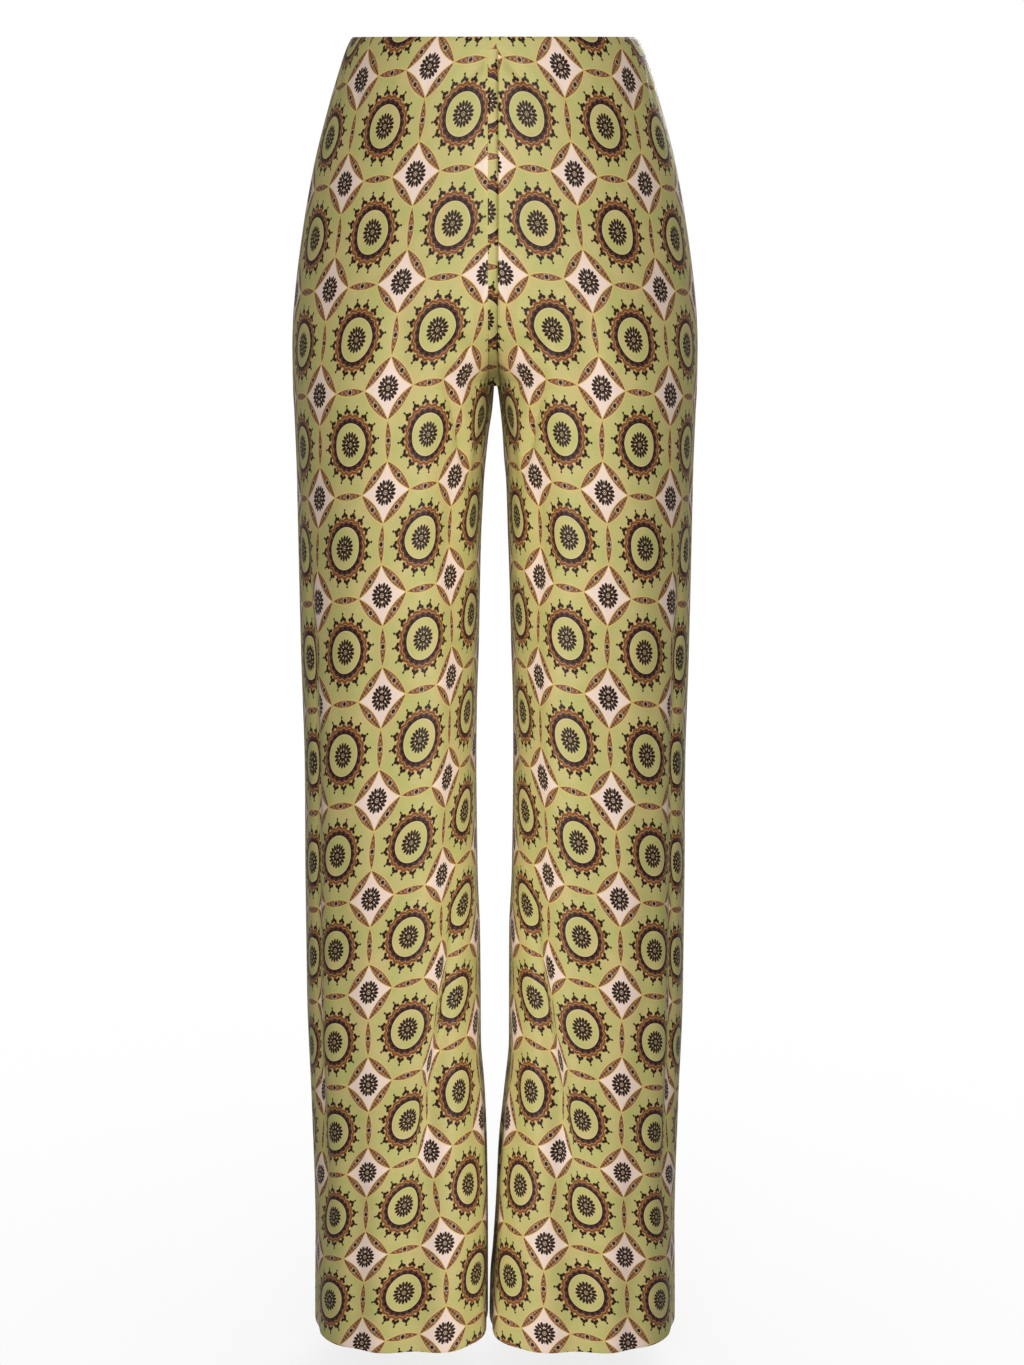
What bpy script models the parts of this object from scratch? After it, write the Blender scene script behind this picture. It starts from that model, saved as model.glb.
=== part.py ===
"""Wide trousers in a light printed cloth, high in the waist, filled out as they hang when worn.

The trousers are hollow and open at the waist and at both hems. X runs to the wearer's left, Y to the
back and Z up. The origin is the middle of the waist at its top edge. The tables are in millimetres.

Each leg is one tube. Its outline at a height is made of four quarter curves: front outer, front inner,
back outer and back inner. Above the crotch the tube is cut open at the middle of the body, so that the
two halves form one hollow seat. The panels are parts of the tubes, parted by a fine gap at each seam.
"""

import math

import bpy
import numpy as np

MM = 0.001
WALL = 1.5
SEAM_GAP = 0.3
HEM = -1100.0
FACING_TOP = -1.2
FACING_MIDDLE = -21
FACING_BOTTOM = -33.0
FACING_WALL = 1.2

# The crotch: where the two back panels stop meeting, and where the leg tubes have closed.
BACK_MEETING = -270.0
LEGS_CLOSED = -277.0
FRONT_CURVE_RISE = 110.0
BACK_CURVE_RISE = 135.0
CROTCH_POWER = 2.9

# The narrow strip at the centre front, from its top end to the crotch.
STRIP_TOP = -9.85
NOTCH_ABOVE = -9.2
NOTCH_BELOW = -9.5
TOP_SEAM_X = 1.2
STRIP_TAIL = (-275.5, -273)

# Between these heights the columns of a panel keep an even spread, while the crotch curve swings.
CALM_TOP = -140.0
CALM_BOTTOM = -330.0

# How a quarter curve is drawn and cut. FLATTEST and LEAST_SWING keep the crotch curve's last part short.
QUARTER_STEPS = 60
LEAST_INNER_QUARTER = 0.5
PAST_THE_MIDDLE = 40.0
FLATTEST = 0.9995
LEAST_SWING = 0.001
# An uneven stretch of a row is taken up near its far end. Slopes are measured over these small steps.
TAKE_UP_POWER = 4
COLUMN_STEP = 0.004
HEIGHT_STEP = 1
SMOOTH_ANGLE = math.radians(40)

# side: outer half width of the body. side_y: where it is widest. front_x and front_y, back_x and back_y:
# the foremost and the rearmost point. inner_y: where the leg is nearest its partner.
# The last four are the powers of the quarter curves: 2 is an ellipse, more is squarer.
SHAPE_COLUMNS = (
    "side", "side_y", "front_x", "front_y", "back_x", "back_y", "inner_y",
    "front_outer", "front_inner", "back_outer", "back_inner",
)
SHAPE = {
    0: (114.6, 1, 0, -91, 0, 93, 22, 2.15, 2.2, 2.1, 2.2),
    -10: (119.5, 1, 0, -93.5, 2, 96, 22, 2.15, 2.2, 2.1, 2.2),
    -30: (126.4, 2, 0, -97, 8, 101, 22, 2.2, 2.2, 2.1, 2.2),
    -50: (132.7, 3, 0, -100, 14, 106, 22, 2.2, 2.2, 2.1, 2.2),
    -100: (146.3, 5, 0, -106, 34, 117, 22, 2.25, 2.2, 2.1, 2.2),
    -150: (156.0, 7, 8, -110, 56, 126, 22, 2.3, 2.2, 2.15, 2.2),
    -200: (163.2, 8, 38, -112, 70, 129, 22, 2.3, 2.2, 2.2, 2.2),
    -225: (165.5, 8, 52, -112, 75, 128, 22, 2.3, 2.2, 2.2, 2.2),
    -250: (166.4, 8, 64, -111, 79, 125, 23, 2.3, 2.2, 2.2, 2.2),
    -277: (166.3, 7, 74, -109.5, 82, 120, 24, 2.3, 2.15, 2.2, 2.2),
    -300: (165.5, 6, 79, -108, 84, 114, 23, 2.25, 2.15, 2.2, 2.2),
    -350: (164.2, 4, 82, -105, 87, 104, 16, 2.2, 2.15, 2.2, 2.2),
    -400: (163.9, 3, 82, -103, 88, 98, 9, 2.15, 2.15, 2.2, 2.2),
    -500: (163.1, 2, 81, -99, 88, 91, 3, 2.15, 2.15, 2.2, 2.25),
    -600: (161.4, 1, 83, -96, 88, 88, 1, 2.2, 2.2, 2.25, 2.3),
    -700: (162.3, 1, 88, -95, 88, 89, 1, 2.25, 2.3, 2.3, 2.4),
    -800: (162.4, 2, 90, -94.5, 87, 92, 1, 2.35, 2.45, 2.35, 2.5),
    -900: (159.8, 3, 88, -94, 84, 96, 2, 2.5, 2.7, 2.4, 2.6),
    -1000: (158.1, 4, 82, -94, 80, 100, 3, 2.6, 3.0, 2.5, 2.7),
    -1050: (159.0, 4, 79, -94.5, 79, 102, 3, 2.6, 3.1, 2.5, 2.8),
    -1100: (160.0, 5, 78, -95, 78, 104, 4, 2.6, 3.2, 2.5, 2.8),
}

# How far the innermost line of each leg stands from the middle of the body.
INNER_COLUMNS = ("right", "left")
INNER = {
    -270: (0.15, 0.15),
    -277: (0.5, 0.8),
    -285: (0.9, 2.3),
    -300: (2.1, 4.2),
    -320: (5.1, 6.2),
    -340: (7.3, 7.4),
    -360: (9.2, 9.2),
    -380: (10.2, 10.0),
    -400: (11.3, 10.6),
    -450: (12.6, 12.3),
    -500: (13.6, 13.6),
    -550: (15.3, 15.2),
    -600: (15.8, 15.4),
    -700: (14.8, 14.3),
    -750: (12.9, 12.2),
    -800: (12.4, 12.1),
    -850: (12.2, 12.1),
    -900: (8.8, 7.8),
    -950: (7.0, 3.0),
    -1000: (6.3, 0.9),
    -1050: (6.2, -2.2),
    -1075: (6.2, -4.4),
    -1100: (6.2, -5.0),
}

# The inseam: how far in front of the innermost line it runs, and the edges of the centre-front strip.
INSEAM_FORWARD = {-277: (46,), -300: (38,), -350: (26,), -420: (14,), -520: (4,), -650: (0,), -1100: (0,)}
EDGE_COLUMNS = ("right", "left")
EDGE = {0: (5.6, 2.4), -235: (5.6, 2.4), -262: (5.6, 3.4), -277: (5.8, 4.8), -300: (5.8, 4.8)}

# Large soft folds. Each row of a fold: height, distance from the middle, depth of the valley, half width.
# A depth below zero is a ridge. The sides of the photographed front mirror each other, the back is uneven.
FRONT_FOLDS = (
    (
        (-290, 38, 0, 14),
        (-330, 36, 3, 13),
        (-420, 34, 4.5, 12),
        (-480, 29, 3, 12),
        (-560, 31, 2.5, 13),
        (-680, 36, 5, 14),
        (-800, 38, 7.5, 15),
        (-874, 55, 9.5, 16),
        (-930, 64, 8, 17),
        (-1000, 69, 6, 17),
        (-1100, 72, 4.5, 17),
    ),
    (
        (-700, 122, 0, 14),
        (-800, 124, 2, 14),
        (-950, 120, 2.5, 15),
        (-1100, 122, 2.5, 16),
    ),
)
BACK_FOLDS = {
    "right": (
        ((-300, 60, 0, 18), (-380, 58, 3, 18), (-520, 66, 4, 18), (-620, 72, 2, 18)),
        ((-600, 112, 0, 18), (-760, 104, 5, 18), (-900, 98, 7, 18), (-1100, 96, 6, 18)),
        ((-720, 46, 0, 14), (-860, 46, 4, 15), (-1100, 42, 4, 15)),
    ),
    "left": (
        ((-310, 52, 0, 18), (-400, 54, 4, 18), (-560, 60, 3, 18), (-680, 64, 1.5, 18)),
        ((-560, 118, 0, 18), (-700, 112, 4, 18), (-860, 106, 7, 18), (-1100, 110, 6, 18)),
        ((-800, 52, 0, 14), (-920, 52, 5, 15), (-1100, 48, 4, 15)),
    ),
}

# The rows of every panel, from the waist down. They lie close together where the crotch curves.
ROW_HEIGHTS = (
    0, NOTCH_ABOVE, NOTCH_BELOW, FACING_MIDDLE, -34, -55, -80, -110, -140, -165, -185, -202, -217, -230, -241,
    -250, -257.5, -263.5, -268, BACK_MEETING, -273.5, LEGS_CLOSED, -283, -291, -302, -318, -340, -370,
    -405, -450, -500, -560, -620, -680, -730, -775, -815, -850, -880, -910, -945, -990, -1035, -1070,
    HEM,
)
FRONT_COLUMNS = np.array([0, 0.055, 0.11, 0.165, 0.22, 0.275, 0.33, 0.39, 0.45, 0.51, 0.57, 0.63, 0.68,
                          0.73, 0.775, 0.82, 0.865, 0.91, 0.955, 1])
BACK_COLUMNS = np.array([0, 0.06, 0.12, 0.18, 0.24, 0.3, 0.36, 0.43, 0.5, 0.57, 0.64, 0.71, 0.77, 0.83,
                         0.89, 0.945, 1])

PRINT_GREEN = (0.473, 0.418, 0.159, 1.0)
PLAIN_GREEN = (0.42, 0.37, 0.15, 1.0)


def clear_scene():
    for old in list(bpy.data.objects):
        bpy.data.objects.remove(old, do_unlink=True)


def smooth_value(table, column, height):
    """A column of a table at a height, on a smooth curve that never swings past its rows."""
    heights = np.array(sorted(table), float)
    values = np.array([table[int(row)][column] for row in heights], float)
    height = min(max(height, heights[0]), heights[-1])
    steps = np.diff(heights)
    slopes = np.diff(values) / steps
    tangents = np.zeros(len(values))
    for i in range(1, len(values) - 1):
        before, after = slopes[i - 1], slopes[i]
        if before * after > 0:
            tangents[i] = 2 * before * after / (before + after)
    tangents[0], tangents[-1] = slopes[0], slopes[-1]
    i = int(np.clip(np.searchsorted(heights, height) - 1, 0, len(steps) - 1))
    t = (height - heights[i]) / steps[i]
    return (
        (1 + 2 * t) * (1 - t) ** 2 * values[i]
        + t * (1 - t) ** 2 * steps[i] * tangents[i]
        + t * t * (3 - 2 * t) * values[i + 1]
        - t * t * (1 - t) * steps[i] * tangents[i + 1]
    )


def shape_at(height):
    return {name: smooth_value(SHAPE, i, height) for i, name in enumerate(SHAPE_COLUMNS)}


def inner_at(leg, height):
    return smooth_value(INNER, INNER_COLUMNS.index(leg), height)


def edge_at(leg, height):
    """Where the front panel of a leg stops beside the strip, or beside the other panel above it."""
    if height >= NOTCH_ABOVE:
        toward = 1 if leg == "left" else -1
        return toward * TOP_SEAM_X + SEAM_GAP / 2
    return smooth_value(EDGE, EDGE_COLUMNS.index(leg), height) + SEAM_GAP / 2


def quarter(x_reach, y_reach, power):
    """A quarter of a squared ellipse, from the end on X to the end on Y."""
    t = np.linspace(0, np.pi / 2, QUARTER_STEPS)
    return x_reach * np.cos(t) ** (2 / power), y_reach * np.sin(t) ** (2 / power)


def crotch_curve(start, end, rise, above):
    """How far the crotch seam has swung from end to start at a distance above the crotch."""
    left = max(0.0, 1 - above / rise)
    return end + (start - end) * max(LEAST_SWING, left ** CROTCH_POWER)


def front_crotch_y(leg):
    """Where the front panel's edge meets the leg tube at the height where the back panels meet."""
    low = shape_at(BACK_MEETING)
    power = low["front_inner"]
    share = (low["front_x"] - edge_at(leg, BACK_MEETING)) / (low["front_x"] - inner_at(leg, BACK_MEETING))
    return low["inner_y"] - (low["inner_y"] - low["front_y"]) * (1 - share**power) ** (1 / power)


def inner_reach(shape, leg, height, face):
    """The X at which the inner quarter of a face ends. Above the crotch it lies past the middle."""
    if height <= BACK_MEETING:
        return inner_at(leg, height)
    above = height - BACK_MEETING
    peak_x, peak_y, power = shape[face + "_x"], shape[face + "_y"], shape[face + "_inner"]
    if face == "front":
        cut = edge_at(leg, min(height, NOTCH_BELOW))
        seam_y = crotch_curve(front_crotch_y(leg), peak_y, FRONT_CURVE_RISE, above)
    else:
        cut = SEAM_GAP / 2
        seam_y = crotch_curve(shape_at(BACK_MEETING)["inner_y"], peak_y, BACK_CURVE_RISE, above)
    if peak_x <= cut + LEAST_INNER_QUARTER:
        return cut - PAST_THE_MIDDLE
    across = (shape["inner_y"] - seam_y) / (shape["inner_y"] - peak_y)
    share = (1 - min(max(across, 0.0), FLATTEST) ** power) ** (1 / power)
    return peak_x - (peak_x - cut) / share


def face_line(leg, height, face):
    """The outline of a face from the side to past its end, and the length at which the panel ends."""
    shape = shape_at(height)
    peak_x, peak_y = shape[face + "_x"], shape[face + "_y"]
    side_y, inner_y = shape["side_y"], shape["inner_y"]
    x, y = quarter(shape["side"] - peak_x, peak_y - side_y, shape[face + "_outer"])
    line = [np.column_stack([peak_x + x, side_y + y])]
    reach = inner_reach(shape, leg, height, face)
    x, y = quarter(peak_x - reach, peak_y - inner_y, shape[face + "_inner"])
    line.append(np.column_stack([peak_x - x, inner_y + y])[::-1][1:])
    other = "back" if face == "front" else "front"
    on_x, on_y = shape[other + "_x"], shape[other + "_y"]
    x, y = quarter(on_x - reach, on_y - inner_y, shape[other + "_inner"])
    line.append(np.column_stack([on_x - x, inner_y + y])[1:])
    line = np.concatenate(line)
    length = np.concatenate([[0], np.cumsum(np.linalg.norm(np.diff(line, axis=0), axis=1))])
    turn = 2 * QUARTER_STEPS - 2
    forward = smooth_value(INSEAM_FORWARD, 0, height)
    if height <= LEGS_CLOSED:
        seam_y = inner_y - forward
        on = slice(QUARTER_STEPS, None)
        order = 1 if face == "front" else -1
        end = np.interp(order * seam_y, order * line[on, 1], length[on])
        return line, length, end - SEAM_GAP / 2
    if face == "back" and height <= BACK_MEETING:
        share = (BACK_MEETING - height) / (BACK_MEETING - LEGS_CLOSED)
        seam_y = inner_y - forward * share
        end = np.interp(-seam_y, -line[turn:, 1], length[turn:])
        return line, length, end - SEAM_GAP / 2
    cut = edge_at(leg, height) if face == "front" else SEAM_GAP / 2
    return line, length, np.interp(-cut, -line[: turn + 1, 0], length[: turn + 1])


def place_columns(leg, height, face, columns):
    """Points of the smooth tube at a height, at shares of the way from the side seam."""
    line, length, end = face_line(leg, height, face)
    even = end
    if CALM_BOTTOM < height < CALM_TOP:
        share = (CALM_TOP - height) / (CALM_TOP - CALM_BOTTOM)
        top_end = face_line(leg, CALM_TOP, face)[2]
        bottom_end = face_line(leg, CALM_BOTTOM, face)[2]
        even = top_end + (bottom_end - top_end) * share
    at = even * columns + (end - even) * columns ** TAKE_UP_POWER
    start = SEAM_GAP / 2
    at = start + at * (end - start) / end
    x = np.interp(at, length, line[:, 0])
    y = np.interp(at, length, line[:, 1])
    return np.column_stack([x, y, np.full(len(x), float(height))])


def outward(points_at, height, columns):
    """Unit vectors out of a surface, from its slopes along a row and between rows."""
    along = points_at(height, columns + COLUMN_STEP) - points_at(height, columns - COLUMN_STEP)
    above, below = min(height + HEIGHT_STEP, 0), max(height - HEIGHT_STEP, HEM)
    down = points_at(above, columns) - points_at(below, columns)
    normal = np.cross(along, down)
    return normal / np.linalg.norm(normal, axis=1)[:, None]


def fold_depth(folds, x, height):
    depth = np.zeros(len(x))
    for fold in folds:
        rows = np.array(fold, float)[::-1]
        if not rows[0, 0] <= height <= rows[-1, 0]:
            continue
        middle, deep, half = (np.interp(height, rows[:, 0], rows[:, i]) for i in (1, 2, 3))
        depth += deep * np.exp(-(((x - middle) / half) ** 2))
    return depth


def cloth_row(leg, face, height, columns):
    """Points of the outer side of the cloth, with its folds, for a leg that lies on the +X side."""
    turned = 1 if face == "back" else -1

    def tube(at_height, at_columns):
        return place_columns(leg, at_height, face, at_columns)

    points = tube(height, columns)
    normal = outward(tube, height, columns) * turned
    folds = FRONT_FOLDS if face == "front" else BACK_FOLDS[leg]
    points = points - normal * fold_depth(folds, points[:, 0], height)[:, None]
    points[:, 2] = height
    return points


def panel_grid(leg, face, columns, heights):
    """Rows of points outside and the directions out of the cloth, for a leg on the +X side."""
    turned = 1 if face == "back" else -1

    def cloth(at_height, at_columns):
        return cloth_row(leg, face, at_height, at_columns)

    outer = np.array([cloth(height, columns) for height in heights])
    normals = np.array([outward(cloth, height, columns) * turned for height in heights])
    for row, height in enumerate(heights):
        if height in (0, HEM) or NOTCH_BELOW <= height <= NOTCH_ABOVE:
            normals[row, :, 2] = 0
            normals[row] /= np.linalg.norm(normals[row], axis=1)[:, None]
    return outer, normals


def sheet_solid(name, outer, inner, material, mirrored=False, ring=False):
    """A closed sheet between two grids of points. A ring joins its last column to its first."""
    rows, columns = outer.shape[:2]
    points = np.concatenate([outer.reshape(-1, 3), inner.reshape(-1, 3)])
    if mirrored:
        points = points * (-1, 1, 1)
    under = rows * columns

    def at(row, column, side):
        return side * under + row * columns + column % columns

    faces = []
    spans = columns if ring else columns - 1
    for row in range(rows - 1):
        for column in range(spans):
            a, b = at(row, column, 0), at(row, column + 1, 0)
            c, d = at(row + 1, column + 1, 0), at(row + 1, column, 0)
            faces += [(a, d, c, b), (a + under, b + under, c + under, d + under)]
        if not ring:
            for column, turn in ((0, 1), (columns - 1, -1)):
                a, b = at(row, column, 0), at(row + 1, column, 0)
                faces.append((a, a + under, b + under, b)[::turn])
    for column in range(spans):
        for row, turn in ((0, -1), (rows - 1, 1)):
            a, b = at(row, column, 0), at(row, column + 1, 0)
            faces.append((a, a + under, b + under, b)[::turn])
    mesh = bpy.data.meshes.new(name)
    mesh.from_pydata((points * MM).tolist(), [], [face[::-1] if mirrored else face for face in faces])
    mesh.shade_smooth()
    mesh.set_sharp_from_angle(angle=SMOOTH_ANGLE)
    mesh.materials.append(material)
    solid = bpy.data.objects.new(name, mesh)
    bpy.context.scene.collection.objects.link(solid)
    return solid


def make_material(name, colour, roughness):
    material = bpy.data.materials.new(name)
    material.use_nodes = True
    shader = material.node_tree.nodes["Principled BSDF"]
    shader.inputs["Base Color"].default_value = colour
    shader.inputs["Roughness"].default_value = roughness
    return material


def make_panel(leg, face, columns, material):
    # The left leg lies on +X. A right leg is built there too and mirrored.
    outer, normals = panel_grid(leg, face, columns, ROW_HEIGHTS)
    inner = outer - normals * WALL
    if face == "back":
        outer, inner = outer[:, ::-1], inner[:, ::-1]
    name = f"{face}_panel_{leg}"
    return sheet_solid(name, outer[:, ::-1], inner[:, ::-1], material, mirrored=leg == "right")


def strip_row(height, beside):
    """The two long edges of the strip at a height, a fine gap from the panels beside it."""
    left = place_columns("left", height, beside, np.array([1.0]))[0]
    right = place_columns("right", height, beside, np.array([1.0]))[0]
    left[0] -= SEAM_GAP
    right[0] = SEAM_GAP - right[0]
    return right, left


def make_strip(material):
    """A ribbon down the centre front that ends in a point between the two back panels."""
    heights = [STRIP_TOP] + [h for h in ROW_HEIGHTS if LEGS_CLOSED <= h < NOTCH_BELOW]
    edges = [strip_row(height, "front") for height in heights]
    edges += [strip_row(height, "back") for height in STRIP_TAIL]
    edges = np.array(edges)
    middle = edges.mean(axis=1, keepdims=True)
    outer = np.concatenate([edges[:, :1], middle, edges[:, 1:]], axis=1)
    down = np.gradient(outer[:, 1], axis=0)
    inward = np.column_stack([np.zeros(len(down)), -down[:, 2], down[:, 1]])
    inward /= np.linalg.norm(inward, axis=1)[:, None]
    inner = outer + inward[:, None] * WALL
    return sheet_solid("centre_front_strip", outer, inner, material)


def make_facing(material):
    """A band inside the waist, one ring that lies a fine gap inside the four panels."""
    heights = (FACING_TOP, NOTCH_ABOVE, FACING_MIDDLE, FACING_BOTTOM)
    half = {}
    for leg in ("left", "right"):
        front, front_out = panel_grid(leg, "front", FRONT_COLUMNS, heights)
        back, back_out = panel_grid(leg, "back", BACK_COLUMNS, heights)
        points = np.concatenate([front[:, ::-1][:, 1:], back[:, 1:-1]], axis=1)
        out = np.concatenate([front_out[:, ::-1][:, 1:], back_out[:, 1:-1]], axis=1)
        if leg == "right":
            points, out = points[:, ::-1] * (-1, 1, 1), out[:, ::-1] * (-1, 1, 1)
        half[leg] = points, out
    points = np.concatenate([half["left"][0], half["right"][0]], axis=1)
    out = np.concatenate([half["left"][1], half["right"][1]], axis=1)
    out[..., 2] = 0
    out /= np.linalg.norm(out, axis=2)[..., None]
    outer = points - out * (WALL + SEAM_GAP)
    inner = outer - out * FACING_WALL
    return sheet_solid("waist_facing", outer, inner, material, ring=True)


def build():
    clear_scene()
    for leg in ("left", "right"):
        for face, columns in (("front", FRONT_COLUMNS), ("back", BACK_COLUMNS)):
            name = f"{face}_panel_{leg}"
            make_panel(leg, face, columns, make_material(name + "_cloth", PRINT_GREEN, 0.45))
    make_strip(make_material("strip_cloth", PRINT_GREEN, 0.45))
    make_facing(make_material("facing_cloth", PLAIN_GREEN, 0.5))


build()
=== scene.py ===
"""Wide satin trousers with a medallion print, filled out and hung from the waist.

Lengths in the tables are in millimetres, as a cutter would note them. A leg is worked out on the +X side,
and the right leg is mirrored. An arc is a length along the cloth from the side seam.
"""

import math

import bpy
import numpy as np
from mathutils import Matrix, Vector


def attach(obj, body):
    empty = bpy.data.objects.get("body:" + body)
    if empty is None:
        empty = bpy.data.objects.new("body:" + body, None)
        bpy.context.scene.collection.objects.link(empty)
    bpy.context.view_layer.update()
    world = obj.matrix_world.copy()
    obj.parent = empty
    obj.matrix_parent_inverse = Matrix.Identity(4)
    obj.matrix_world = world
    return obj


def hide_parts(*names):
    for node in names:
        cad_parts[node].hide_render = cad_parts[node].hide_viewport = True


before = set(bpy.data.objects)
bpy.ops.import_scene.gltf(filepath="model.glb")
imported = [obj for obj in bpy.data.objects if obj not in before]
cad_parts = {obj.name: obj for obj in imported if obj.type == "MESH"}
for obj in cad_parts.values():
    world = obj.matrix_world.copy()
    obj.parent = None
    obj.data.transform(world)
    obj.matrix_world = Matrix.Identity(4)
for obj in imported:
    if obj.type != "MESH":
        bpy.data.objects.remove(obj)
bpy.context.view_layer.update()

MM = 0.001
HEM = -1100.0

# ---- camera

PHOTO_HEIGHT = 1365
PHOTO_MIDDLE_X = 512
TROUSERS_MIDDLE_X = 495
LENS = 72.1
CAMERA_PLACE = (0.0, -2.25, -0.012)
CAMERA_DOWN = math.radians(12.976)


def put_in_scene(name, data):
    thing = bpy.data.objects.new(name, data)
    bpy.context.scene.collection.objects.link(thing)
    return thing


def make_camera():
    lens = bpy.data.cameras.new("photo_camera")
    lens.lens = LENS
    lens.shift_x = (PHOTO_MIDDLE_X - TROUSERS_MIDDLE_X) / PHOTO_HEIGHT
    camera = put_in_scene("photo_camera", lens)
    camera.location = CAMERA_PLACE
    camera.rotation_euler = (math.pi / 2 - CAMERA_DOWN, 0, 0)
    bpy.context.scene.camera = camera


make_camera()

# ---- the cut, as the solids have it

BACK_MEETING = -270.0
LEGS_CLOSED = -277.0
FRONT_CURVE_RISE = 110.0
BACK_CURVE_RISE = 135.0
CROTCH_POWER = 2.9
NOTCH_ABOVE = -9.2
NOTCH_BELOW = -9.5
TOP_SEAM_X = 1.2
STRIP_TAIL = (-275.5, -273)
CALM_TOP = -140.0
CALM_BOTTOM = -330.0
QUARTER_STEPS = 240
LEAST_INNER_QUARTER = 0.5
PAST_THE_MIDDLE = 40.0
FLATTEST = 0.9995
LEAST_SWING = 0.001
COLUMN_POWER = 4
TAKE_UP_SIDE = 110.0
SEAM_CALM = 12.0
SEAM_KEEPS = 0.35

SHAPE_COLUMNS = (
    "side", "side_y", "front_x", "front_y", "back_x", "back_y", "inner_y",
    "front_outer", "front_inner", "back_outer", "back_inner",
)
SHAPE = {
    0: (114.6, 1, 0, -91, 0, 93, 22, 2.15, 2.2, 2.1, 2.2),
    -10: (119.5, 1, 0, -93.5, 2, 96, 22, 2.15, 2.2, 2.1, 2.2),
    -30: (126.4, 2, 0, -97, 8, 101, 22, 2.2, 2.2, 2.1, 2.2),
    -50: (132.7, 3, 0, -100, 14, 106, 22, 2.2, 2.2, 2.1, 2.2),
    -100: (146.3, 5, 0, -106, 34, 117, 22, 2.25, 2.2, 2.1, 2.2),
    -150: (156, 7, 8, -110, 56, 126, 22, 2.3, 2.2, 2.15, 2.2),
    -200: (163.2, 8, 38, -112, 70, 129, 22, 2.3, 2.2, 2.2, 2.2),
    -225: (165.5, 8, 52, -112, 75, 128, 22, 2.3, 2.2, 2.2, 2.2),
    -250: (166.4, 8, 64, -111, 79, 125, 23, 2.3, 2.2, 2.2, 2.2),
    -277: (166.3, 7, 74, -109.5, 82, 120, 24, 2.3, 2.15, 2.2, 2.2),
    -300: (165.5, 6, 79, -108, 84, 114, 23, 2.25, 2.15, 2.2, 2.2),
    -350: (164.2, 4, 82, -105, 87, 104, 16, 2.2, 2.15, 2.2, 2.2),
    -400: (163.9, 3, 82, -103, 88, 98, 9, 2.15, 2.15, 2.2, 2.2),
    -500: (163.1, 2, 81, -99, 88, 91, 3, 2.15, 2.15, 2.2, 2.25),
    -600: (161.4, 1, 83, -96, 88, 88, 1, 2.2, 2.2, 2.25, 2.3),
    -700: (162.3, 1, 88, -95, 88, 89, 1, 2.25, 2.3, 2.3, 2.4),
    -800: (162.4, 2, 90, -94.5, 87, 92, 1, 2.35, 2.45, 2.35, 2.5),
    -900: (159.8, 3, 88, -94, 84, 96, 2, 2.5, 2.7, 2.4, 2.6),
    -1000: (158.1, 4, 82, -94, 80, 100, 3, 2.6, 3, 2.5, 2.7),
    -1050: (159, 4, 79, -94.5, 79, 102, 3, 2.6, 3.1, 2.5, 2.8),
    -1100: (160, 5, 78, -95, 78, 104, 4, 2.6, 3.2, 2.5, 2.8),
}
LEG_COLUMNS = ("right", "left")
INNER = {
    -270: (0.15, 0.15), -277: (0.5, 0.8), -285: (0.9, 2.3), -300: (2.1, 4.2), -320: (5.1, 6.2),
    -340: (7.3, 7.4), -360: (9.2, 9.2), -380: (10.2, 10), -400: (11.3, 10.6), -450: (12.6, 12.3),
    -500: (13.6, 13.6), -550: (15.3, 15.2), -600: (15.8, 15.4), -700: (14.8, 14.3), -750: (12.9, 12.2),
    -800: (12.4, 12.1), -850: (12.2, 12.1), -900: (8.8, 7.8), -950: (7, 3), -1000: (6.3, 0.9),
    -1050: (6.2, -2.2), -1075: (6.2, -4.4), -1100: (6.2, -5),
}
INSEAM_FORWARD = {-277: (46,), -300: (38,), -350: (26,), -420: (14,), -520: (4,), -650: (0,), -1100: (0,)}
EDGE = {0: (5.6, 2.4), -235: (5.6, 2.4), -262: (5.6, 3.4), -277: (5.8, 4.8), -300: (5.8, 4.8)}

# Large soft folds, as the solids have them: height, distance from the middle, depth, half width.
FRONT_FOLDS = (
    ((-290, 38, 0, 14), (-330, 36, 3, 13), (-420, 34, 4.5, 12), (-480, 29, 3, 12), (-560, 31, 2.5, 13),
     (-680, 36, 5, 14), (-800, 38, 7.5, 15), (-874, 55, 9.5, 16), (-930, 64, 8, 17), (-1000, 69, 6, 17),
     (-1100, 72, 4.5, 17)),
    ((-700, 122, 0, 14), (-800, 124, 2, 14), (-950, 120, 2.5, 15), (-1100, 122, 2.5, 16)),
)
BACK_FOLDS = {
    "right": (
        ((-300, 60, 0, 18), (-380, 58, 3, 18), (-520, 66, 4, 18), (-620, 72, 2, 18)),
        ((-600, 112, 0, 18), (-760, 104, 5, 18), (-900, 98, 7, 18), (-1100, 96, 6, 18)),
        ((-720, 46, 0, 14), (-860, 46, 4, 15), (-1100, 42, 4, 15)),
    ),
    "left": (
        ((-310, 52, 0, 18), (-400, 54, 4, 18), (-560, 60, 3, 18), (-680, 64, 1.5, 18)),
        ((-560, 118, 0, 18), (-700, 112, 4, 18), (-860, 106, 7, 18), (-1100, 110, 6, 18)),
        ((-800, 52, 0, 14), (-920, 52, 5, 15), (-1100, 48, 4, 15)),
    ),
}

# ---- sewing and pressing

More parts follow.
